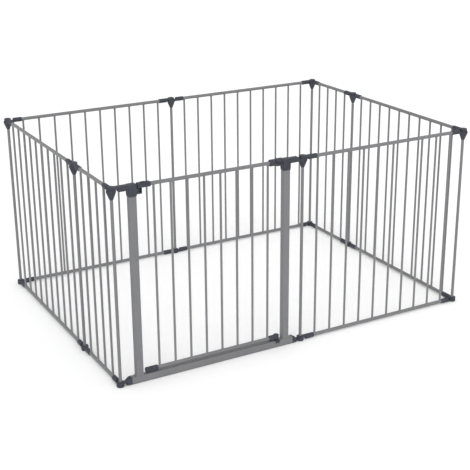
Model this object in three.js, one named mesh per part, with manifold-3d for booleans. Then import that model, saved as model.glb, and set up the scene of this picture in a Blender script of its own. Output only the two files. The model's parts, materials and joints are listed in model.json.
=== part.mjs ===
// Modular baby playpen: eight steel grille panels hinged at eight upright posts, one panel with a door.
// Millimetres, +Z up. The ring stands on z = 0 and the origin is the middle of its plan.
import * as THREE from 'three';
import { mergeVertices } from 'three/addons/utils/BufferGeometryUtils.js';
import Module from 'manifold-3d';

const wasm = await Module();
wasm.setup();

// ---- driving dimensions ----
const barPitch = 66;
const endGap = 63; // post axis to the first bar of a panel
const longPanel = 9 * barPitch + 2 * endGap;
const shortPanel = 3 * barPitch + 2 * endGap;
const lowerRailZ = 10;
const upperRailZ = 700;
const clearance = 0.3;

const railRadius = 6.5;
const railBore = 4.6;
const barRadius = 4;
const barSink = 1.75; // how far a bar is let into its rail
const postRadius = 5.5;
const postBore = 4.2;

const hub = { radius: 13.5, above: 10, below: 8, chamfer: 3 };
const lowHub = { top: 18, chamfer: 1.5 };
const sleeve = { radius: 9, end: 57 };
const tongueReach = 22; // a knuckle half is half as high out to here, so its neighbour can pass
const socketStart = 30;
const skirt = { drop: 34, tipRadius: 6.8, collarRadius: 16.5 };
const footChamfer = 2;
const footFloor = 3; // plastic under the lower end of a post
const capRoof = 4; // plastic over the upper end of a post

const gatePost = { centre: 70, width: 26, depth: 22, wall: 1.6, aboveRail: 3 };
const gateCap = { width: 30, depth: 26, above: 8, below: 33, corner: 3, taper: 9, tuck: 1.2 };
const linkArm = { depth: 20, above: 8, below: 10 };
const beam = { start: 40, bottom: 1, height: 25.5, depth: 22, wall: 2, plugDepth: 12, wedge: 5 };
const beamTop = beam.bottom + beam.height;

const doorBar = { first: 148, pitch: 61.5, count: 8 };
const doorAxis = 616; // gate hinge line, measured from the left post
const doorLowerZ = 38;
const doorSleeve = { start: 585, full: 604, topRadius: 12, lowRadius: 10, socketEnd: 597 };
const doorBracket = { radius: 11.5, above: 11 };
const doorPin = { radius: 4, play: 0.4 };
const doorBoss = { radius: 9, height: 5.5, pinTop: 45, apronFloor: 18, apronWall: 2, bridge: 0.9 };
const doorEyeFloor = 33.2;
const latch = { start: 89, end: 136, depth: 18, above: 8, below: 8, corner: 3, railStart: 128 };
const bolt = { x: 97, radius: 3, play: 0.5, bottom: -22, top: -5, lift: 8 };
const button = { length: 16, width: 9.4, travel: 8, start: 102, floor: 5, top: 10.5 };
const strike = { end: 105, depth: 16, top: -9, bottom: -28, slotWidth: 9, slotFloor: -24, slotBack: 4 };
const lowerSleeve = { start: 95, end: 140, radius: 9.5, railStart: 104 };

// ---- materials ----
const steel = () => new THREE.MeshStandardMaterial({ color: 0x85868a, roughness: 0.45, metalness: 0.35 });
const plastic = () => new THREE.MeshStandardMaterial({ color: 0x34363e, roughness: 0.55, metalness: 0 });

// ---- solids ----
function toSolid(geometry) {
  const bare = geometry.clone();
  bare.deleteAttribute('normal');
  bare.deleteAttribute('uv');
  const merged = mergeVertices(bare);
  return new wasm.Manifold(new wasm.Mesh({
    numProp: 3,
    vertProperties: new Float32Array(merged.attributes.position.array),
    triVerts: new Uint32Array(merged.index.array),
  }));
}

function toMesh(name, solid, material) {
  const shape = solid.getMesh();
  const geometry = new THREE.BufferGeometry();
  geometry.setAttribute('position', new THREE.BufferAttribute(shape.vertProperties, 3));
  geometry.setIndex(new THREE.BufferAttribute(shape.triVerts, 1));
  geometry.computeVertexNormals();
  const mesh = new THREE.Mesh(geometry, material());
  mesh.name = name;
  return mesh;
}

const join = (...solids) => solids.reduce((sum, solid) => sum.add(solid));

function cut(solid, ...tools) {
  return tools.reduce((rest, tool) => rest.subtract(tool), solid);
}

// A solid turned about the upright line x = 0, y = 0, from a profile of [radius, z] points.
function turned(profile, segments = 12) {
  const points = profile.map(([radius, z]) => new THREE.Vector2(radius, z));
  return toSolid(new THREE.LatheGeometry(points, segments).rotateX(Math.PI / 2));
}

function rodZ(radius, low, high, { x = 0, y = 0, segments = 12 } = {}) {
  const geometry = new THREE.CylinderGeometry(radius, radius, high - low, segments);
  return toSolid(geometry.rotateX(Math.PI / 2).translate(x, y, (low + high) / 2));
}

function rodX(radius, from, to, z, segments = 12) {
  const geometry = new THREE.CylinderGeometry(radius, radius, to - from, segments);
  return toSolid(geometry.rotateZ(Math.PI / 2).translate((from + to) / 2, 0, z));
}

function block(x, y, z) {
  const geometry = new THREE.BoxGeometry(x[1] - x[0], y[1] - y[0], z[1] - z[0]);
  return toSolid(geometry.translate((x[0] + x[1]) / 2, (y[0] + y[1]) / 2, (z[0] + z[1]) / 2));
}

// An upright block with rounded vertical edges, centred on y = 0.
function roundedBlock(x, depth, z, corner) {
  const outline = new THREE.Shape();
  const [left, right] = x;
  const half = depth / 2;
  outline.moveTo(left + corner, -half);
  outline.lineTo(right - corner, -half);
  outline.absarc(right - corner, -half + corner, corner, -Math.PI / 2, 0);
  outline.absarc(right - corner, half - corner, corner, 0, Math.PI / 2);
  outline.absarc(left + corner, half - corner, corner, Math.PI / 2, Math.PI);
  outline.absarc(left + corner, -half + corner, corner, Math.PI, 1.5 * Math.PI);
  const geometry = new THREE.ExtrudeGeometry(outline, {
    depth: z[1] - z[0],
    bevelEnabled: false,
    curveSegments: 3,
  });
  return toSolid(geometry.translate(0, 0, z[0]));
}

function roundTubeX(outer, inner, from, to, z, segments = 12) {
  const profile = [[inner, from], [outer, from], [outer, to], [inner, to], [inner, from]];
  const points = profile.map(([radius, along]) => new THREE.Vector2(radius, along));
  const geometry = new THREE.LatheGeometry(points, segments);
  return toSolid(geometry.rotateZ(-Math.PI / 2).translate(0, 0, z));
}

function boxTubeZ(width, depth, wall, low, high) {
  const [x, y] = [width / 2, depth / 2];
  return cut(
    block([-x, x], [-y, y], [low, high]),
    block([wall - x, x - wall], [wall - y, y - wall], [low - 1, high + 1]),
  );
}

// ---- grilles ----
// A rail is { from, to, z }, and the bars stand between the two rails.
function grille({ low, high, firstBar, pitch, bars }) {
  const inset = railRadius - barSink;
  let solid = join(...[low, high].map(({ from, to, z }) => roundTubeX(railRadius, railBore, from, to, z)));
  for (let i = 0; i < bars; i += 1) {
    solid = solid.add(rodZ(barRadius, low.z + inset, high.z - inset, {
      x: firstBar + i * pitch,
      segments: 8,
    }));
  }
  return solid;
}

function panelGrille(length) {
  const from = socketStart + clearance;
  return grille({
    low: { from, to: length - from, z: lowerRailZ },
    high: { from, to: length - from, z: upperRailZ },
    firstBar: endGap,
    pitch: barPitch,
    bars: Math.round((length - 2 * endGap) / barPitch) + 1,
  });
}

// ---- hinge knuckles: two halves share each post, one eye over the other ----
// An upper half takes the upper eye. A lower half takes the lower eye, and is fixed to the post.
const half = {
  upperTop: {
    railZ: upperRailZ,
    span: [upperRailZ + clearance, upperRailZ + sleeve.radius],
    eye: [
      [0, upperRailZ + clearance],
      [hub.radius, upperRailZ + clearance],
      [hub.radius, upperRailZ + hub.above - hub.chamfer],
      [hub.radius - hub.chamfer, upperRailZ + hub.above],
      [0, upperRailZ + hub.above],
    ],
    bore: [upperRailZ - 1, upperRailZ + hub.above - capRoof],
  },
  lowerTop: {
    railZ: upperRailZ,
    span: [upperRailZ - sleeve.radius, upperRailZ],
    eye: [
      [0, upperRailZ - skirt.drop],
      [skirt.tipRadius, upperRailZ - skirt.drop],
      [skirt.collarRadius, upperRailZ - hub.below],
      [hub.radius, upperRailZ],
      [0, upperRailZ],
    ],
    bore: [upperRailZ - skirt.drop - 1, upperRailZ + 1],
  },
  upperBottom: {
    railZ: lowerRailZ,
    span: [lowerRailZ + clearance, lowHub.top],
    eye: [
      [0, lowerRailZ + clearance],
      [hub.radius, lowerRailZ + clearance],
      [hub.radius, lowHub.top - lowHub.chamfer],
      [hub.radius - lowHub.chamfer, lowHub.top],
      [0, lowHub.top],
    ],
    bore: [lowerRailZ - 1, lowHub.top + 1],
  },
  lowerBottom: {
    railZ: lowerRailZ,
    span: [lowerRailZ - sleeve.radius, lowerRailZ],
    eye: [
      [0, 0],
      [hub.radius - footChamfer, 0],
      [hub.radius, footChamfer],
      [hub.radius, lowerRailZ],
      [0, lowerRailZ],
    ],
    bore: [footFloor, lowerRailZ + 1],
  },
};

const postHole = ({ bore }) => rodZ(postRadius + clearance + 0.1, bore[0], bore[1]);

function knuckle(form) {
  const { railZ, span } = form;
  const wide = [-sleeve.radius, sleeve.radius];
  const tongue = rodX(sleeve.radius, 0, tongueReach + 1, railZ)
    .intersect(block([0, tongueReach + 1], wide, span));
  return cut(
    join(turned(form.eye), tongue, rodX(sleeve.radius, tongueReach, sleeve.end, railZ)),
    postHole(form),
    rodX(railRadius + clearance, socketStart, sleeve.end + 1, railZ),
  );
}

function hingePost() {
  const low = footFloor + clearance;
  const high = upperRailZ + hub.above - capRoof - clearance;
  const profile = [[postBore, low], [postRadius, low], [postRadius, high], [postBore, high], [postBore, low]];
  return turned(profile, 12);
}

// ---- gate frame ----
// The cap over a gate post draws in towards the post at its foot.
function capBlock(left, right) {
  const { depth, corner, taper, tuck } = gateCap;
  const foot = upperRailZ - gateCap.below;
  return wasm.Manifold.hull([
    roundedBlock([left, right], depth, [foot + taper, upperRailZ + gateCap.above], corner),
    roundedBlock([left + tuck, right - tuck], depth - 2 * tuck, [foot, foot + taper], corner),
  ]);
}

function capBody(form) {
  const left = gatePost.centre - gateCap.width / 2;
  const right = left + gateCap.width;
  const arm = [-linkArm.depth / 2, linkArm.depth / 2];
  const pocket = { x: gatePost.width / 2 + clearance, y: gatePost.depth / 2 + clearance };
  return cut(
    join(
      turned(form.eye),
      block([0, tongueReach + 1], arm, form.span),
      block([tongueReach, left + 1], arm, [upperRailZ - linkArm.below, upperRailZ + linkArm.above]),
      capBlock(left, right),
    ),
    postHole(form),
    block(
      [gatePost.centre - pocket.x, gatePost.centre + pocket.x],
      [-pocket.y, pocket.y],
      [upperRailZ - gateCap.below - 1, upperRailZ + gatePost.aboveRail + clearance],
    ),
  );
}

// Left cap: its strike tab stops the bolt on the pen's side and is open on the outer side.
function leftCap() {
  const face = gatePost.centre + gateCap.width / 2;
  const tab = block(
    [face - 1, strike.end],
    [-strike.depth / 2, strike.depth / 2],
    [upperRailZ + strike.bottom, upperRailZ + strike.top],
  );
  const slot = block(
    [bolt.x - strike.slotWidth / 2, bolt.x + strike.slotWidth / 2],
    [-strike.depth, strike.slotBack],
    [upperRailZ + strike.slotFloor, upperRailZ + strike.top + 1],
  );
  return join(capBody(half.upperTop), cut(tab, slot));
}

// Right cap: a bracket over the door's hinge line, with the pin that hangs from it.
function rightCap() {
  const face = longPanel - gatePost.centre - gateCap.width / 2;
  const level = [upperRailZ + clearance, upperRailZ + doorBracket.above];
  const body = capBody(half.lowerTop).rotate([0, 0, 180]).translate([longPanel, 0, 0]);
  const reach = [-doorBracket.radius, doorBracket.radius];
  return join(
    body,
    block([doorAxis, face + 1], reach, level),
    rodZ(doorBracket.radius, level[0], level[1], { x: doorAxis }),
    rodZ(doorPin.radius, upperRailZ - doorSleeve.topRadius + 1, level[0] + 1, { x: doorAxis, segments: 12 }),
  );
}

// Slopes up from the knuckle half to the beam's full section, and plugs into the beam.
function beamEnd(form) {
  const tongue = [-sleeve.radius, sleeve.radius];
  const side = [-beam.depth / 2, beam.depth / 2];
  const shoulder = beam.start - clearance;
  const slope = wasm.Manifold.hull([
    block([tongueReach, tongueReach + 1], tongue, [lowerRailZ - sleeve.radius, lowerRailZ + sleeve.radius]),
    block([shoulder - beam.wedge, shoulder], side, [beam.bottom, beamTop]),
  ]);
  const inset = beam.wall + clearance;
  return cut(
    join(
      turned(form.eye),
      block([0, tongueReach + 1], tongue, form.span),
      slope,
      block(
        [shoulder - 1, beam.start + beam.plugDepth],
        [side[0] + inset, side[1] - inset],
        [beam.bottom + inset, beamTop - inset],
      ),
    ),
    postHole(form),
  );
}

function thresholdBeam() {
  const tube = boxTubeZ(beam.height, beam.depth, beam.wall, beam.start, longPanel - beam.start);
  return tube.rotate([0, 90, 0]).translate([0, 0, beamTop - beam.height / 2]);
}

function squarePost(x) {
  const top = upperRailZ + gatePost.aboveRail;
  const tube = boxTubeZ(gatePost.width, gatePost.depth, gatePost.wall, beamTop + clearance, top);
  return tube.translate([x, 0, 0]);
}

// A boss with the lower pin, held to the beam by an apron down its outer face.
function lowerPivot() {
  const { radius, height, pinTop, apronFloor, apronWall, bridge } = doorBoss;
  const low = beamTop + clearance;
  const width = [doorAxis - radius, doorAxis + radius];
  const inner = -beam.depth / 2 - clearance;
  return join(
    rodZ(radius, low, low + height, { x: doorAxis }),
    rodZ(doorPin.radius, low + 1, pinTop, { x: doorAxis, segments: 12 }),
    block(width, [inner - apronWall, 0], [low, low + bridge]),
    block(width, [inner - apronWall, inner], [apronFloor, low + bridge]),
  );
}

// ---- door ----
function doorGrille() {
  return grille({
    low: { from: lowerSleeve.railStart, to: doorSleeve.socketEnd, z: doorLowerZ },
    high: { from: latch.railStart, to: doorSleeve.socketEnd, z: upperRailZ },
    firstBar: doorBar.first,
    pitch: doorBar.pitch,
    bars: doorBar.count,
  });
}

function doorHingeSleeve(z, radius, eyeSpan, pinHole) {
  const { start, full, socketEnd } = doorSleeve;
  const hingeArm = block([full - 1, doorAxis], [-radius, radius], eyeSpan);
  return cut(
    join(
      rodX(radius, start, full, z),
      hingeArm.intersect(rodX(radius, full - 1, doorAxis, z)),
      rodZ(radius, eyeSpan[0], eyeSpan[1], { x: doorAxis }),
    ),
    rodX(railRadius + clearance, start - 1, socketEnd + clearance, z),
    rodZ(doorPin.radius + doorPin.play, pinHole[0], pinHole[1], { x: doorAxis, segments: 12 }),
  );
}

function latchHousing() {
  const level = [upperRailZ - latch.below, upperRailZ + latch.above];
  const boltHoleTop = upperRailZ + bolt.top + bolt.lift + 1;
  const runway = {
    x: [button.start - clearance, button.start + button.length + button.travel + clearance],
    y: [-button.width / 2 - clearance, button.width / 2 + clearance],
    z: [upperRailZ + button.floor, upperRailZ + latch.above + 1],
  };
  return cut(
    roundedBlock([latch.start, latch.end], latch.depth, level, latch.corner),
    rodX(railRadius + clearance, latch.railStart - clearance, latch.end + 1, upperRailZ),
    rodZ(bolt.radius + bolt.play, level[0] - 1, boltHoleTop, { x: bolt.x, segments: 12 }),
    block(runway.x, runway.y, runway.z),
  );
}

function latchButton() {
  const z = [upperRailZ + button.floor + clearance, upperRailZ + button.top];
  return roundedBlock([button.start, button.start + button.length], button.width, z, 2);
}

function latchBolt() {
  const span = [upperRailZ + bolt.bottom, upperRailZ + bolt.top];
  return rodZ(bolt.radius, span[0], span[1], { x: bolt.x, segments: 12 });
}

function doorLatchSleeve() {
  return cut(
    rodX(lowerSleeve.radius, lowerSleeve.start, lowerSleeve.end, doorLowerZ),
    rodX(railRadius + clearance, lowerSleeve.railStart - clearance, lowerSleeve.end + 1, doorLowerZ),
  );
}

// ---- one panel in its own frame: the first post at x = 0, the panel along +X ----
function panelPieces(name, length) {
  const pieces = new THREE.Group();
  const far = (solid) => solid.rotate([0, 0, 180]).translate([length, 0, 0]);
  pieces.add(
    toMesh(`${name}_grille`, panelGrille(length), steel),
    toMesh(`${name}_knuckle_top_start`, knuckle(half.upperTop), plastic),
    toMesh(`${name}_knuckle_bottom_start`, knuckle(half.upperBottom), plastic),
    toMesh(`${name}_knuckle_top_end`, far(knuckle(half.lowerTop)), plastic),
    toMesh(`${name}_knuckle_bottom_end`, far(knuckle(half.lowerBottom)), plastic),
    toMesh(`${name}_hinge_post`, hingePost().translate([length, 0, 0]), steel),
  );
  return pieces;
}

function gatePieces() {
  const pieces = new THREE.Group();
  const far = (solid) => solid.rotate([0, 0, 180]).translate([longPanel, 0, 0]);
  pieces.add(
    toMesh('gate_post_left', squarePost(gatePost.centre), steel),
    toMesh('gate_post_right', squarePost(longPanel - gatePost.centre), steel),
    toMesh('threshold_beam', thresholdBeam(), steel),
    toMesh('gate_cap_left', leftCap(), plastic),
    toMesh('gate_cap_right', rightCap(), plastic),
    toMesh('beam_end_left', beamEnd(half.upperBottom), plastic),
    toMesh('beam_end_right', far(beamEnd(half.lowerBottom)), plastic),
    toMesh('gate_hinge_post', hingePost().translate([longPanel, 0, 0]), steel),
    toMesh('door_pivot_lower', lowerPivot(), plastic),
  );
  return pieces;
}

function doorPieces() {
  const pieces = new THREE.Group();
  const topRadius = doorSleeve.topRadius;
  const lowRadius = doorSleeve.lowRadius;
  const topEye = [upperRailZ - topRadius, upperRailZ - clearance];
  const topHole = [topEye[0] - 1, topEye[1] + 1];
  const lowEye = [doorEyeFloor, doorLowerZ + lowRadius];
  const lowHole = [lowEye[0] - 1, doorBoss.pinTop + 1];
  pieces.add(
    toMesh('door_grille', doorGrille(), steel),
    toMesh('door_hinge_sleeve_top', doorHingeSleeve(upperRailZ, topRadius, topEye, topHole), plastic),
    toMesh('door_hinge_sleeve_bottom', doorHingeSleeve(doorLowerZ, lowRadius, lowEye, lowHole), plastic),
    toMesh('door_latch_sleeve_bottom', doorLatchSleeve(), plastic),
    toMesh('latch_housing', latchHousing(), plastic),
    toMesh('latch_button', latchButton(), plastic),
    toMesh('latch_bolt', latchBolt(), plastic),
  );
  return pieces;
}

// ---- the ring, anticlockwise seen from above, from the front left post ----
const playpen = new THREE.Group();
playpen.name = 'playpen';
const walk = new THREE.Vector2(-longPanel, -(longPanel + shortPanel) / 2);

const gate = new THREE.Group();
gate.add(gatePieces(), doorPieces());
gate.position.set(walk.x, walk.y, 0);
playpen.add(gate);
walk.x += longPanel;

const ring = [
  ['front_right', longPanel, 0],
  ['right_long', longPanel, 1],
  ['right_short', shortPanel, 1],
  ['back_right', longPanel, 2],
  ['back_left', longPanel, 2],
  ['left_long', longPanel, 3],
  ['left_short', shortPanel, 3],
];

for (const [name, length, quarterTurns] of ring) {
  const heading = quarterTurns * Math.PI / 2;
  const panel = panelPieces(name, length);
  panel.position.set(walk.x, walk.y, 0);
  panel.rotation.z = heading;
  playpen.add(panel);
  walk.x += length * Math.cos(heading);
  walk.y += length * Math.sin(heading);
}

export default playpen;
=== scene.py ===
"""Looks for the modular playpen: powder-coated tubes with welded bars, and soft-edged moulded fittings.

Metres, +Z up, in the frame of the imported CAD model. Each panel is drawn in a frame of its own, with its first
hinge post at x = 0 and the panel along +X, and then set where the CAD posts stand.
"""

import json
import math

import bmesh
import bpy
from mathutils import Matrix, Vector


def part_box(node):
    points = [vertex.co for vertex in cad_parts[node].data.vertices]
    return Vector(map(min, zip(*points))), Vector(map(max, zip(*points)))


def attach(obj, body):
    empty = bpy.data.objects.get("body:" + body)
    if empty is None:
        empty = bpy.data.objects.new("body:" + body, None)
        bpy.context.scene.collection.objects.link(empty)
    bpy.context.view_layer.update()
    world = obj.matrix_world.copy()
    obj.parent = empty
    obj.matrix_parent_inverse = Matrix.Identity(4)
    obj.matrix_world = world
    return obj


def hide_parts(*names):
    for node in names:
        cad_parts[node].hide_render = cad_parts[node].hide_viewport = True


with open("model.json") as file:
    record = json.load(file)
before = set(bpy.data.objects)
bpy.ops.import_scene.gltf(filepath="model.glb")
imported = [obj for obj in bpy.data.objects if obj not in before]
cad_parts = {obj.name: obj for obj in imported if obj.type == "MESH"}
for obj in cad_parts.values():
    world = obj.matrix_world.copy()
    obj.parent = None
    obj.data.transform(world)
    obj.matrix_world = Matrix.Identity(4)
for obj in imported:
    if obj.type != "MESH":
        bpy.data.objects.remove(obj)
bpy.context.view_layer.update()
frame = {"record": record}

MM = 0.001


# ---- sizes, read from the CAD nodes where they show them ----
def centre(node):
    low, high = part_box(node)
    return (low + high) / 2


def size(node):
    low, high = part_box(node)
    return high - low


rail_radius = size("front_right_grille").y / 2
lower_rail_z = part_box("front_right_grille")[0].z + rail_radius
upper_rail_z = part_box("front_right_grille")[1].z - rail_radius
door_rail_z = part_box("door_grille")[0].z + rail_radius
post_radius = size("gate_hinge_post").x / 2
post_low, post_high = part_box("gate_hinge_post")[0].z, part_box("gate_hinge_post")[1].z
hub_radius = size("front_right_knuckle_top_start").y / 2
hub_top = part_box("front_right_knuckle_top_start")[1].z
gap = 0.3 * MM  # left between parts that touch
hub_bottom = upper_rail_z + gap
skirt_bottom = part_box("front_right_knuckle_top_end")[0].z
low_hub_top = lower_rail_z + 8 * MM
gate_origin = centre("left_short_hinge_post")
long_panel = centre("gate_hinge_post").x - gate_origin.x

bar_radius = 4 * MM
bar_pitch = 66 * MM
end_gap = 63 * MM
weld = 1.7 * MM
tube_wall = 1.9 * MM

sleeve_radius = 9 * MM
sleeve_end = 57 * MM
tongue_reach = 22 * MM
socket_start = 30 * MM

beam_low, beam_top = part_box("threshold_beam")[0].z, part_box("threshold_beam")[1].z
beam_depth = size("threshold_beam").y
beam_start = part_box("threshold_beam")[0].x - gate_origin.x
gate_post_at = centre("gate_post_left").x - gate_origin.x
cap_width = 30 * MM
cap_depth = size("gate_cap_left").y
cap_top = upper_rail_z + 8 * MM
cap_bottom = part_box("gate_cap_left")[0].z
arm_half_depth = 10 * MM
arm_top, arm_bottom = cap_top, upper_rail_z - 10 * MM
collar_radius = 16.5 * MM
door_axis = centre("door_pivot_lower").x - gate_origin.x
bracket_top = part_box("gate_cap_right")[1].z
bracket_radius = 11.5 * MM
latch_sleeve_radius = size("door_latch_sleeve_bottom").z / 2
pivot_bridge = 0.9 * MM
door_eye_floor = 33.2 * MM
door_pin_radius = 4 * MM
door_rail_start = 128 * MM  # the upper rail starts inside the latch
strike_end = 105 * MM
strike_half_depth = 8 * MM
slot_half_width = 4.5 * MM
door_first_bar = 148 * MM
door_pitch = 61.5 * MM
door_bars = 8

POWDER_GREY = (0.158, 0.159, 0.165)
SLATE = (0.040, 0.043, 0.055)


# ---- rings, and the skins stretched over them ----
def ring_z(radius, z, x=0.0, y=0.0, count=48):
    """A level circle."""
    turns = (2 * math.pi * i / count for i in range(count))
    return [Vector((x + radius * math.cos(a), y + radius * math.sin(a), z)) for a in turns]


def ring_x(radius, x, z, count=48):
    """A circle round a line along X."""
    turns = (2 * math.pi * i / count for i in range(count))
    return [Vector((x, radius * math.cos(a), z + radius * math.sin(a))) for a in turns]


def soft_rectangle(width, depth, corner, steps=5):
    """The outline of a rectangle with round corners, anticlockwise round (0, 0)."""
    points = []
    for quarter, (sx, sy) in enumerate(((1, 1), (-1, 1), (-1, -1), (1, -1))):
        for i in range(steps + 1):
            angle = (quarter + i / steps) * math.pi / 2
            x = sx * (width / 2 - corner) + corner * math.cos(angle)
            y = sy * (depth / 2 - corner) + corner * math.sin(angle)
            points.append((x, y))
    return points


def stretch(bm, rings):
    """Skins rings one after another. The ends are capped, unless the last ring is the first one again."""
    looped = rings[0] is rings[-1]
    loops = [[bm.verts.new(p) for p in ring] for ring in (rings[:-1] if looped else rings)]
    ahead = loops[1:] + [loops[0]] if looped else loops[1:]
    for near, far in zip(loops, ahead):
        for i in range(len(near)):
            j = (i + 1) % len(near)
            bm.faces.new((near[i], near[j], far[j], far[i]))
    if not looped:
        bm.faces.new(reversed(loops[0]))
        bm.faces.new(loops[-1])


def skin(name, shells, sharp=35):
    bm = bmesh.new()
    for rings in shells:
        stretch(bm, rings)
    bmesh.ops.recalc_face_normals(bm, faces=bm.faces)
    mesh = bpy.data.meshes.new(name)
    bm.to_mesh(mesh)
    bm.free()
    smooth(mesh, sharp)
    return mesh


def smooth(mesh, sharp):
    mesh.shade_smooth()
    mesh.set_sharp_from_angle(angle=math.radians(sharp))


# ---- solids as lists of rings ----
def turned(profile, x=0.0):
    """A solid turned round an upright line, from (radius, z) points."""
    return [ring_z(radius, z, x) for radius, z in profile]


def rod_z(radius, low, high, x=0.0):
    return turned([(radius, low), (radius, high)], x)


def rod_x(radius, start, end, z, lip=0.0):
    """A rod along X, either way. With a lip its far edge is rounded over that much."""
    if not lip:
        return [ring_x(radius, start, z), ring_x(radius, end, z)]
    rings = [ring_x(radius, start, z)]
    ahead = math.copysign(lip, end - start)
    for i in range(5):
        angle = i / 4 * math.pi / 2
        rings.append(ring_x(radius - lip * (1 - math.cos(angle)), end - ahead * (1 - math.sin(angle)), z))
    return rings


def half_rod_x(radius, start, end, z, low, high, count=48):
    """A rod along X with what is under low and over high taken off."""
    def flat(ring):
        return [Vector((p.x, p.y, min(max(p.z, low), high))) for p in ring]
    return [flat(ring_x(radius, start, z, count)), flat(ring_x(radius, end, z, count))]


def brick(x, y, z, corner, edge=1.2 * MM, tuck=0.0, taper=0.0):
    """An upright block with round corners and softened edges. Its foot draws in by tuck over a height of taper."""
    middle = Vector(((x[0] + x[1]) / 2, (y[0] + y[1]) / 2, 0))
    turns = (0, 0.5, 1.0, math.pi / 2)
    levels = [(tuck + edge * (1 - math.sin(a)), z[0] + edge * (1 - math.cos(a))) for a in turns]
    if taper:
        levels.append((0.0, z[0] + taper))
    levels += [(edge * (1 - math.cos(a)), z[1] - edge * (1 - math.sin(a))) for a in turns]
    rings = []
    width, depth = x[1] - x[0], y[1] - y[0]
    for inset, level in levels:
        outline = soft_rectangle(width - 2 * inset, depth - 2 * inset, max(corner - inset, 0.3 * MM))
        rings.append([middle + Vector((px, py, level)) for px, py in outline])
    return rings


def wedge(x, near, far, corner=1.5 * MM):
    """A solid along X between two upright sections, each (half width, low, high)."""
    rings = []
    for at, (half_width, low, high) in ((x[0], near), (x[1], far)):
        middle = (low + high) / 2
        outline = soft_rectangle(2 * half_width, high - low, corner)
        rings.append([Vector((at, u, middle + v)) for u, v in outline])
    return rings


def square_tube(width, height, wall, corner, place):
    """A tube of soft square section. place(u, v, end) puts an outline point at end 0 or 1 of the tube."""
    outer = soft_rectangle(width, height, corner)
    inner = soft_rectangle(width - 2 * wall, height - 2 * wall, corner - wall / 2)
    rings = [[place(u, v, end) for u, v in outline] for outline, end in (
        (inner, 0), (outer, 0), (outer, 1), (inner, 1))]
    return rings + [rings[0]]


# ---- welded grilles ----
def round_tube_x(start, end, z, count=32):
    bore = rail_radius - tube_wall
    rings = [ring_x(radius, x, z, count) for radius, x in (
        (bore, start), (rail_radius, start), (rail_radius, end), (bore, end))]
    return rings + [rings[0]]


def saddle(x, radius, rail_z, side, lift=0.0, count=20):
    """A ring round an upright bar where it meets a rail: side is -1 under the rail and 1 over it."""
    ring = []
    for i in range(count):
        angle = 2 * math.pi * i / count
        y = radius * math.sin(angle)
        drop = math.sqrt(rail_radius ** 2 - y ** 2)
        ring.append(Vector((x + radius * math.cos(angle), y, rail_z + side * (drop + lift))))
    return ring


def welded_bar(x, low_z, high_z):
    """A bar with a weld bead running round both of its ends."""
    bead = bar_radius + weld
    waist = bar_radius + 0.35 * weld
    return [
        saddle(x, bead, low_z, 1, -0.3 * MM),
        saddle(x, bead, low_z, 1, 0.1 * MM),
        saddle(x, waist, low_z, 1, 0.55 * weld),
        saddle(x, bar_radius, low_z, 1, 1.5 * weld),
        saddle(x, bar_radius, high_z, -1, 1.5 * weld),
        saddle(x, waist, high_z, -1, 0.55 * weld),
        saddle(x, bead, high_z, -1, 0.1 * MM),
        saddle(x, bead, high_z, -1, -0.3 * MM),
    ]


def panel_grille(length):
    start = socket_start + gap
    shells = [round_tube_x(start, length - start, z) for z in (lower_rail_z, upper_rail_z)]
    bars = round((length - 2 * end_gap) / bar_pitch) + 1
    shells += [welded_bar(end_gap + i * bar_pitch, lower_rail_z, upper_rail_z) for i in range(bars)]
    return skin("welded_grille", shells)


def door_grille():
    low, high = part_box("door_grille")
    start, end = low.x - gate_origin.x, high.x - gate_origin.x
    shells = [round_tube_x(start, end, door_rail_z), round_tube_x(door_rail_start, end, upper_rail_z)]
    for i in range(door_bars):
        shells.append(welded_bar(door_first_bar + i * door_pitch, door_rail_z, upper_rail_z))
    return skin("door_welded_grille", shells)


def hinge_post():
    bevel = 0.6 * MM
    bore = post_radius - 1.3 * MM
    profile = [
        (bore, post_low), (post_radius - bevel, post_low), (post_radius, post_low + bevel),
        (post_radius, post_high - bevel), (post_radius - bevel, post_high), (bore, post_high)]
    rings = turned(profile)
    return skin("hinge_post", [rings + [rings[0]]])


def gate_post():
    """A soft square post, flared by its weld where it stands on the threshold beam."""
    low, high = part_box("gate_post_left")
    width, depth = high.x - low.x, high.y - low.y
    levels = (low.z, high.z)
    tube = square_tube(width, depth, 1.6 * MM, 2.2 * MM, lambda u, v, end: Vector((u, v, levels[end])))
    bead = [(2.4 * MM, 0.0), (1.2 * MM, 0.7 * MM), (0.5 * MM, 1.8 * MM), (0.05 * MM, 3.5 * MM)]
    flare = []
    for out, rise in bead:
        outline = soft_rectangle(width + 2 * out, depth + 0.1 * out, 2.2 * MM)
        flare.append([Vector((u, v, low.z + rise)) for u, v in outline])
    return skin("gate_post", [tube, flare])


def threshold_beam():
    low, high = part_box("threshold_beam")
    ends = (low.x - gate_origin.x, high.x - gate_origin.x)
    middle = (low.z + high.z) / 2
    tube = square_tube(beam_depth, beam_top - beam_low, 2 * MM, 2.2 * MM,
                       lambda u, v, end: Vector((ends[end], u, middle + v)))
    return skin("threshold_beam", [tube])


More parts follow.
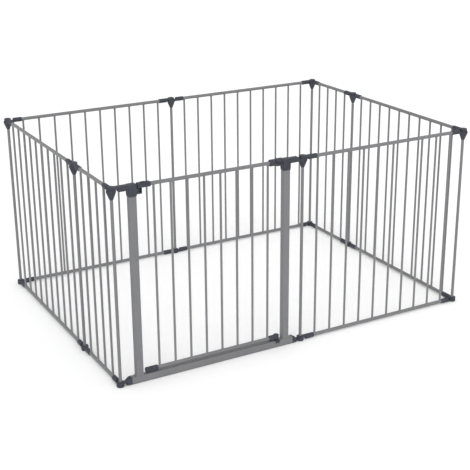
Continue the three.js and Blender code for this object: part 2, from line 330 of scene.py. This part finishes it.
# ---- moulded plastic ----
def mould(name, shells, cutters=(), grain=0.7 * MM, keep=0.3):
    """One moulding: its shells are melted into one skin with soft edges and fillets, and then bored."""
    scene = bpy.context.scene
    blank = bpy.data.objects.new("blank", skin("blank", shells))
    scene.collection.objects.link(blank)
    melt = blank.modifiers.new("melt", "REMESH")
    melt.mode = "VOXEL"
    melt.voxel_size = grain
    soften = blank.modifiers.new("soften", "SMOOTH")
    soften.factor = 0.5
    soften.iterations = 5
    thin = blank.modifiers.new("thin", "DECIMATE")
    thin.ratio = keep
    tools = []
    for rings in cutters:
        tool = bpy.data.objects.new("tool", skin("tool", [rings]))
        scene.collection.objects.link(tool)
        bore = blank.modifiers.new("bore", "BOOLEAN")
        bore.operation = "DIFFERENCE"
        bore.solver = "MANIFOLD"
        bore.object = tool
        tools.append(tool)
    done = blank.evaluated_get(bpy.context.evaluated_depsgraph_get())
    mesh = bpy.data.meshes.new_from_object(done)
    mesh.name = name
    mesh.materials.clear()
    for helper in [blank, *tools]:
        shape = helper.data
        bpy.data.objects.remove(helper)
        bpy.data.meshes.remove(shape)
    smooth(mesh, 38)
    return mesh


def fillet(radius, z, round_off, steps=5):
    """(radius, z) points over the rounded upper edge of a turned solid."""
    turns = [i / steps * math.pi / 2 for i in range(steps + 1)]
    return [(radius - round_off * (1 - math.cos(a)), z - round_off * (1 - math.sin(a))) for a in turns]


def rounded_eye(low, top, round_off=3 * MM):
    return turned([(hub_radius, low), *fillet(hub_radius, top, round_off)])


def skirted_eye():
    """The lower half of a top knuckle: a collar that runs down the post in a long cone."""
    tip = 6.8 * MM
    shoulder = upper_rail_z - 8 * MM
    return turned([
        (tip - 0.8 * MM, skirt_bottom), (tip, skirt_bottom + 0.8 * MM),
        (tip + 0.6 * MM, skirt_bottom + 3 * MM), (collar_radius - 0.8 * MM, shoulder - 2 * MM),
        (collar_radius, shoulder), (collar_radius - 0.2 * MM, upper_rail_z - 2.5 * MM), (hub_radius + MM, upper_rail_z)])


def footed_eye():
    bevel = 2 * MM
    foot = [(radius, -z) for radius, z in reversed(fillet(hub_radius, 0.0, bevel))]
    return turned([*foot, (hub_radius, lower_rail_z)])


def post_bore(low, high):
    return rod_z(post_radius + 0.4 * MM, low, high)


def knuckle(name, eye, rail_z, span, bore):
    shells = [
        eye,
        half_rod_x(sleeve_radius, 0.0, tongue_reach + MM, rail_z, *span),
        rod_x(sleeve_radius, tongue_reach, sleeve_end, rail_z, lip=1.6 * MM),
    ]
    socket = rod_x(rail_radius + gap, socket_start, sleeve_end + MM, rail_z)
    return mould(name, shells, [post_bore(*bore), socket])


upper_top_span = (upper_rail_z + gap, upper_rail_z + sleeve_radius)
lower_top_span = (upper_rail_z - sleeve_radius, upper_rail_z)
upper_bottom_span = (lower_rail_z + gap, low_hub_top)
lower_bottom_span = (lower_rail_z - sleeve_radius, lower_rail_z)
upper_top_bore = (upper_rail_z - MM, post_high + gap)
lower_top_bore = (skirt_bottom - MM, upper_rail_z + MM)
upper_bottom_bore = (lower_rail_z - MM, low_hub_top + MM)
lower_bottom_bore = (post_low - gap, lower_rail_z + MM)


def cap_shells(eye, span):
    """The square cap over a gate post, its flat arm, and the knuckle half at the arm's end."""
    left, right = gate_post_at - cap_width / 2, gate_post_at + cap_width / 2
    arm = (-arm_half_depth, arm_half_depth)
    tongue = (max(span[0], arm_bottom), min(span[1], arm_top))
    return [
        eye,
        brick((0.0, tongue_reach + MM), arm, tongue, MM, edge=0.5 * MM),
        brick((tongue_reach, left + 3 * MM), arm, (arm_bottom, arm_top), 1.5 * MM),
        brick((left, right), (-cap_depth / 2, cap_depth / 2), (cap_bottom, cap_top), 4 * MM,
              edge=1.6 * MM, tuck=1.0 * MM, taper=9 * MM),
    ]


def cap_pocket():
    low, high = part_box("gate_post_left")
    x, y = (high.x - low.x) / 2 + gap, (high.y - low.y) / 2 + gap
    height = (cap_bottom - 10 * MM, high.z + gap)
    return brick((gate_post_at - x, gate_post_at + x), (-y, y), height, 2 * MM, edge=0.2 * MM)


def left_cap():
    """The cap on the latch side, with the strike tab that takes the bolt."""
    face = gate_post_at + cap_width / 2
    bolt_at = 97 * MM
    tab = brick((face - 4 * MM, strike_end), (-strike_half_depth, strike_half_depth),
                (cap_bottom + 5 * MM, upper_rail_z - 9 * MM), 2 * MM)
    slot = brick((bolt_at - slot_half_width, bolt_at + slot_half_width), (-16 * MM, 4 * MM),
                 (upper_rail_z - 24 * MM, upper_rail_z - 7 * MM), 1.2 * MM, edge=0.3 * MM)
    shells = [*cap_shells(rounded_eye(hub_bottom, hub_top), upper_top_span), tab]
    return mould("gate_cap_left", shells, [post_bore(*upper_top_bore), cap_pocket(), slot])


def right_cap():
    """The cap on the hinge side, with the bracket and pin that the door hangs from. It is drawn from its post."""
    axis = long_panel - door_axis
    face = gate_post_at + cap_width / 2
    level = (upper_rail_z + gap, bracket_top)
    pin_end = upper_rail_z - 11 * MM
    shells = [
        *cap_shells(skirted_eye(), lower_top_span),
        brick((face - 4 * MM, axis), (-bracket_radius, bracket_radius), level, 1.0 * MM, edge=2.5 * MM),
        turned([(bracket_radius, level[0]), *fillet(bracket_radius, level[1], 2.5 * MM)], axis),
        turned([(door_pin_radius - 0.8 * MM, pin_end), (door_pin_radius, pin_end + MM),
                (door_pin_radius, level[0] + MM)], axis),
    ]
    return mould("gate_cap_right", shells, [post_bore(*lower_top_bore), cap_pocket()])


def beam_end(name, eye, span, bore):
    """A knuckle half that slopes up to the end of the threshold beam and plugs into it."""
    half_depth = beam_depth / 2
    inset = 2.3 * MM
    low = (sleeve_radius, lower_rail_z - sleeve_radius, lower_rail_z + sleeve_radius)
    full = (half_depth, beam_low, beam_top)
    plug = (half_depth - inset, beam_low + inset, beam_top - inset)
    shoulder = beam_start - gap
    shells = [
        eye,
        half_rod_x(sleeve_radius, 0.0, tongue_reach + MM, lower_rail_z, *span),
        wedge((tongue_reach, shoulder - 5 * MM), low, full, 2 * MM),
        wedge((shoulder - 5.5 * MM, shoulder), full, full, 2 * MM),
        wedge((shoulder - 3 * MM, beam_start + 12 * MM), plug, plug),
    ]
    return mould(name, shells, [post_bore(*bore)])


def door_hinge_sleeve(name, z, radius, span, pin_hole):
    """A barrel on a door rail, cut to half its height over the last stretch to the hinge pin."""
    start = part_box(name)[0].x - gate_origin.x
    shells = [
        rod_x(radius, door_axis - 12 * MM, start, z, lip=2.6 * MM),
        half_rod_x(radius, door_axis - 14 * MM, door_axis, z, *span),
        rod_z(radius, span[0], span[1], door_axis),
    ]
    socket = rod_x(rail_radius + gap, start - MM, start + 12 * MM + gap, z)
    pin = rod_z(door_pin_radius + 0.4 * MM, pin_hole[0], pin_hole[1], door_axis)
    return mould(name, shells, [socket, pin])


def lower_pivot():
    """The boss and pin under the door, with the apron that holds them to the beam's outer face."""
    low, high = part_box("door_pivot_lower")
    radius = (high.x - low.x) / 2
    seat = beam_top + gap
    outer, inner = low.y - gate_origin.y, -beam_depth / 2 - gap
    width = (door_axis - radius, door_axis + radius)
    shells = [
        turned([(radius, seat), *fillet(radius, seat + 5.5 * MM, 0.8 * MM)], door_axis),
        turned([(door_pin_radius, seat + MM), *fillet(door_pin_radius, high.z, 0.8 * MM)], door_axis),
        brick(width, (outer, 0.0), (seat, seat + pivot_bridge), MM, edge=0.1 * MM),
        brick(width, (outer, inner), (low.z, seat + pivot_bridge), 0.7 * MM, edge=0.3 * MM),
    ]
    return mould("door_pivot_lower", shells, grain=0.35 * MM, keep=0.15)


def latch_sleeve():
    low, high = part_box("door_latch_sleeve_bottom")
    start, end = low.x - gate_origin.x, high.x - gate_origin.x
    closed_end = [ring_x(latch_sleeve_radius - inset, start + along, door_rail_z) for inset, along in (
        (1.2 * MM, 0.0), (0.5 * MM, 0.3 * MM), (0.1 * MM, 0.8 * MM), (0.0, 1.4 * MM))]
    open_end = rod_x(latch_sleeve_radius, start + 4 * MM, end, door_rail_z, lip=1.8 * MM)
    socket = rod_x(rail_radius + gap, start + 9 * MM - gap, end + MM, door_rail_z)
    return mould("latch_sleeve", [closed_end + open_end], [socket])


def latch_housing():
    """The thumb latch: a rounded box with a runway for the button and a hole for the bolt."""
    low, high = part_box("latch_housing")
    start, end = low.x - gate_origin.x, high.x - gate_origin.x
    depth = (high.y - low.y) / 2
    button_low, button_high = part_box("latch_button")
    travel = 8 * MM
    side = (button_high.y - button_low.y) / 2 + gap
    run = (button_low.x - gate_origin.x - gap, button_high.x - gate_origin.x + travel + gap)
    runway = brick(run, (-side, side), (button_low.z - gap, high.z + MM), 1.6 * MM, edge=0.1 * MM)
    shells = [brick((start, end), (-depth, depth), (low.z, high.z), 2 * MM, edge=1.4 * MM)]
    rail_hole = rod_x(rail_radius + gap, door_rail_start - gap, end + MM, upper_rail_z)
    bolt_at = centre("latch_bolt").x - gate_origin.x
    bolt_hole = rod_z(3.5 * MM, low.z - MM, upper_rail_z + 4 * MM, bolt_at)
    return mould("latch_housing", shells, [rail_hole, runway, bolt_hole])


def latch_button():
    """The thumb button, with grip grooves across its top."""
    low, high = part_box("latch_button")
    x = (low.x - gate_origin.x, high.x - gate_origin.x)
    side = (high.y - low.y) / 2
    shells = [brick(x, (-side, side), (low.z, high.z), 2 * MM, edge=MM)]
    middle = (x[0] + x[1]) / 2
    grooves = []
    for step in (-1, 0, 1):
        at = middle + step * 3 * MM
        grooves.append(brick((at - 0.5 * MM, at + 0.5 * MM), (-side - MM, side + MM),
                             (high.z - 0.8 * MM, high.z + MM), 0.3 * MM, edge=0.1 * MM))
    return mould("latch_button", shells, grooves, grain=0.4 * MM)


def latch_bolt():
    low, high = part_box("latch_bolt")
    radius = (high.y - low.y) / 2
    tip = [(r, low.z - z) for r, z in reversed(fillet(radius, 0.0, 1.2 * MM))]
    at = centre("latch_bolt").x - gate_origin.x
    return skin("latch_bolt", [turned([*tip, *fillet(radius, high.z, 0.6 * MM)], at)])


# ---- materials ----
def node(tree, kind, **values):
    made = tree.nodes.new(kind)
    for key, value in values.items():
        if key in made.inputs:
            made.inputs[key].default_value = value
        else:
            setattr(made, key, value)
    return made


def noise(tree, place, scale, detail=2.0, roughness=0.5):
    made = node(tree, "ShaderNodeTexNoise", Scale=scale, Detail=detail, Roughness=roughness)
    tree.links.new(place.outputs["Object"], made.inputs["Vector"])
    return made.outputs["Fac"]


def between(tree, source, low, high, start=0.3, end=0.7):
    made = node(tree, "ShaderNodeMapRange")
    for name, value in (("From Min", start), ("From Max", end), ("To Min", low), ("To Max", high)):
        made.inputs[name].default_value = value
    tree.links.new(source, made.inputs["Value"])
    return made.outputs["Result"]


def tinted(tree, source, dark, light):
    """A colour between dark and light, led by source."""
    ramp = node(tree, "ShaderNodeValToRGB")
    ramp.color_ramp.elements[0].position = 0.3
    ramp.color_ramp.elements[0].color = (*dark, 1)
    ramp.color_ramp.elements[1].position = 0.7
    ramp.color_ramp.elements[1].color = (*light, 1)
    tree.links.new(source, ramp.inputs["Fac"])
    return ramp.outputs["Color"]


def relief(tree, height, distance, strength, under=None):
    bump = node(tree, "ShaderNodeBump", Strength=strength, Distance=distance)
    tree.links.new(height, bump.inputs["Height"])
    if under:
        tree.links.new(under, bump.inputs["Normal"])
    return bump.outputs["Normal"]


def material(name):
    made = bpy.data.materials.new(name)
    made.use_nodes = True
    return made, made.node_tree, made.node_tree.nodes["Principled BSDF"]


def powder_coat():
    """Satin powder coat: an orange-peel skin with a fine fleck, and gloss that drifts a little along the tube."""
    made, tree, shader = material("powder_coat")
    place = node(tree, "ShaderNodeTexCoord")
    drift = noise(tree, place, 14.0, detail=3.0)
    fleck = noise(tree, place, 1300.0, detail=1.0)
    mix = node(tree, "ShaderNodeMix", data_type="FLOAT")
    mix.inputs["Factor"].default_value = 0.45
    tree.links.new(drift, mix.inputs["A"])
    tree.links.new(fleck, mix.inputs["B"])
    dark = tuple(0.90 * c for c in POWDER_GREY)
    light = tuple(1.12 * c for c in POWDER_GREY)
    tree.links.new(tinted(tree, mix.outputs["Result"], dark, light), shader.inputs["Base Color"])
    tree.links.new(between(tree, drift, 0.36, 0.48), shader.inputs["Roughness"])
    peel = relief(tree, noise(tree, place, 420.0, detail=2.0), 0.00012, 0.35)
    tree.links.new(relief(tree, fleck, 0.00004, 0.3, peel), shader.inputs["Normal"])
    shader.inputs["Metallic"].default_value = 0.2
    shader.inputs["Coat Weight"].default_value = 0.12
    shader.inputs["Coat Roughness"].default_value = 0.25
    return made


def moulded_plastic():
    """Dark slate plastic with the spark-eroded grain of its mould, rubbed a little smoother in patches."""
    made, tree, shader = material("moulded_plastic")
    place = node(tree, "ShaderNodeTexCoord")
    patches = noise(tree, place, 35.0, detail=4.0, roughness=0.6)
    dark = tuple(0.85 * c for c in SLATE)
    light = tuple(1.25 * c for c in SLATE)
    tree.links.new(tinted(tree, patches, dark, light), shader.inputs["Base Color"])
    tree.links.new(between(tree, patches, 0.62, 0.46), shader.inputs["Roughness"])
    shader.inputs["Specular IOR Level"].default_value = 0.22
    grain = noise(tree, place, 1600.0, detail=3.0, roughness=0.65)
    pores = node(tree, "ShaderNodeTexVoronoi", Scale=900.0)
    tree.links.new(place.outputs["Object"], pores.inputs["Vector"])
    coarse = relief(tree, pores.outputs["Distance"], 0.00006, 0.4)
    tree.links.new(relief(tree, grain, 0.00005, 0.5, coarse), shader.inputs["Normal"])
    return made


# ---- putting the pieces in place ----
body_of_node = {
    name: body for body, names in frame["record"]["behaviour"]["bodies"].items() for name in names}


def put(name, mesh, matrix, finish):
    """One piece in place of the CAD node of that name."""
    if not mesh.materials:
        mesh.materials.append(finish)
    piece = bpy.data.objects.new(f"{name}_look", mesh)
    bpy.context.scene.collection.objects.link(piece)
    piece.matrix_world = matrix
    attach(piece, body_of_node[name])
    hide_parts(name)


def stand(post, heading):
    """The frame of a panel that starts at that hinge post and runs that way."""
    at = centre(post)
    return Matrix.Translation((at.x, at.y, 0)) @ Matrix.Rotation(heading, 4, "Z")


def heading_between(start, end):
    way = centre(end) - centre(start)
    return math.atan2(way.y, way.x)


steel = powder_coat()
plastic = moulded_plastic()

low_eye = rounded_eye(lower_rail_z + gap, low_hub_top, 1.5 * MM)
knuckles = {
    "top_start": knuckle("knuckle_upper_top", rounded_eye(hub_bottom, hub_top), upper_rail_z,
                         upper_top_span, upper_top_bore),
    "top_end": knuckle("knuckle_lower_top", skirted_eye(), upper_rail_z, lower_top_span, lower_top_bore),
    "bottom_start": knuckle("knuckle_upper_bottom", low_eye, lower_rail_z,
                            upper_bottom_span, upper_bottom_bore),
    "bottom_end": knuckle("knuckle_lower_bottom", footed_eye(), lower_rail_z,
                          lower_bottom_span, lower_bottom_bore),
}
grilles = {}
post_mesh = hinge_post()

ring = [
    "gate", "front_right", "right_long", "right_short", "back_right", "back_left", "left_long", "left_short"]
for before, panel in zip(ring, ring[1:]):
    start, end = f"{before}_hinge_post", f"{panel}_hinge_post"
    heading = heading_between(start, end)
    length = (centre(end) - centre(start)).length
    here, there = stand(start, heading), stand(end, heading + math.pi)
    key = round(length, 3)
    if key not in grilles:
        grilles[key] = panel_grille(length)
    put(f"{panel}_grille", grilles[key], here, steel)
    put(f"{panel}_hinge_post", post_mesh, stand(end, heading), steel)
    for spot, mesh in knuckles.items():
        put(f"{panel}_knuckle_{spot}", mesh, here if spot.endswith("start") else there, plastic)

gate_heading = heading_between("left_short_hinge_post", "gate_hinge_post")
gate_left = stand("left_short_hinge_post", gate_heading)
gate_right = stand("gate_hinge_post", gate_heading + math.pi)
square_post = gate_post()
for side, at in (("left", gate_post_at), ("right", long_panel - gate_post_at)):
    put(f"gate_post_{side}", square_post, gate_left @ Matrix.Translation((at, 0, 0)), steel)
put("threshold_beam", threshold_beam(), gate_left, steel)
put("gate_hinge_post", post_mesh, stand("gate_hinge_post", gate_heading), steel)
put("gate_cap_left", left_cap(), gate_left, plastic)
put("gate_cap_right", right_cap(), gate_right, plastic)
put("beam_end_left", beam_end("beam_end_left", low_eye, upper_bottom_span, upper_bottom_bore),
    gate_left, plastic)
put("beam_end_right", beam_end("beam_end_right", footed_eye(), lower_bottom_span, lower_bottom_bore),
    gate_right, plastic)
put("door_pivot_lower", lower_pivot(), gate_left, plastic)

put("door_grille", door_grille(), gate_left, steel)
top_radius = size("door_hinge_sleeve_top").y / 2
top_eye = (upper_rail_z - top_radius, upper_rail_z - gap)
put("door_hinge_sleeve_top", door_hinge_sleeve(
    "door_hinge_sleeve_top", upper_rail_z, top_radius, top_eye, (top_eye[0] - MM, top_eye[1] + MM)),
    gate_left, plastic)
low_radius = size("door_hinge_sleeve_bottom").y / 2
low_door_eye = (door_eye_floor, door_rail_z + low_radius)
low_pin_hole = (low_door_eye[0] - MM, door_rail_z + 8 * MM)
put("door_hinge_sleeve_bottom", door_hinge_sleeve(
    "door_hinge_sleeve_bottom", door_rail_z, low_radius, low_door_eye, low_pin_hole),
    gate_left, plastic)
put("door_latch_sleeve_bottom", latch_sleeve(), gate_left, plastic)
put("latch_housing", latch_housing(), gate_left, plastic)
put("latch_button", latch_button(), gate_left, plastic)
put("latch_bolt", latch_bolt(), gate_left, plastic)


# ---- studio ----
def floor():
    bm = bmesh.new()
    bmesh.ops.create_grid(bm, x_segments=8, y_segments=8, size=40)
    mesh = bpy.data.meshes.new("floor")
    bm.to_mesh(mesh)
    bm.free()
    made, tree, shader = material("studio_floor")
    place = node(tree, "ShaderNodeTexCoord")
    cloud = noise(tree, place, 0.6)
    tree.links.new(tinted(tree, cloud, (0.93, 0.93, 0.93), (0.95, 0.95, 0.95)), shader.inputs["Base Color"])
    shader.inputs["Roughness"].default_value = 0.9
    shader.inputs["Specular IOR Level"].default_value = 0.1
    mesh.materials.append(made)
    sheet = bpy.data.objects.new("studio_floor", mesh)
    bpy.context.scene.collection.objects.link(sheet)


def soft_light(name, place, aim, side, power):
    data = bpy.data.lights.new(name, "AREA")
    data.shape = "SQUARE"
    data.size = side
    data.energy = power
    lamp = bpy.data.objects.new(name, data)
    lamp.location = place
    lamp.rotation_euler = (Vector(aim) - Vector(place)).to_track_quat("-Z", "Y").to_euler()
    bpy.context.scene.collection.objects.link(lamp)


def soft_sun(name, place, strength, spread):
    """An even light from that side, as wide as a softbox so that thin tubes leave almost no shadow."""
    data = bpy.data.lights.new(name, "SUN")
    data.energy = strength
    data.angle = math.radians(spread)
    lamp = bpy.data.objects.new(name, data)
    lamp.rotation_euler = (-Vector(place)).to_track_quat("-Z", "Y").to_euler()
    bpy.context.scene.collection.objects.link(lamp)


def studio():
    world = bpy.data.worlds.new("studio")
    world.use_nodes = True
    sky = world.node_tree.nodes["Background"]
    sky.inputs["Color"].default_value = (1, 1, 1, 1)
    sky.inputs["Strength"].default_value = 0.86
    bpy.context.scene.world = world
    bpy.context.scene.view_settings.view_transform = "Standard"
    soft_sun("key", (-1.9, -3.2, 2.4), 1.6, 70)
    soft_light("fill", (3.4, -1.2, 2.6), (0, 0, 0.3), 3.0, 12)


def camera():
    """Looks at the pen from in front of its left corner, slightly from above."""
    azimuth = math.radians(29.07)
    elevation = math.radians(20.16)
    roll = math.radians(-0.45)
    forward = Vector((
        math.sin(azimuth) * math.cos(elevation), math.cos(azimuth) * math.cos(elevation), -math.sin(elevation)))
    right = Vector((math.cos(azimuth), -math.sin(azimuth), 0))
    up = right.cross(forward)
    tilted_right = math.cos(roll) * right + math.sin(roll) * up
    tilted_up = math.cos(roll) * up - math.sin(roll) * right
    data = bpy.data.cameras.new("camera")
    data.sensor_width = 36
    data.lens = 81.36
    data.clip_end = 200
    eye = bpy.data.objects.new("camera", data)
    turn = Matrix((tilted_right, tilted_up, -forward)).transposed()
    eye.matrix_world = Matrix.Translation((-1.935, -3.514, 1.721)) @ turn.to_4x4()
    bpy.context.scene.collection.objects.link(eye)
    bpy.context.scene.camera = eye


floor()
studio()
camera()
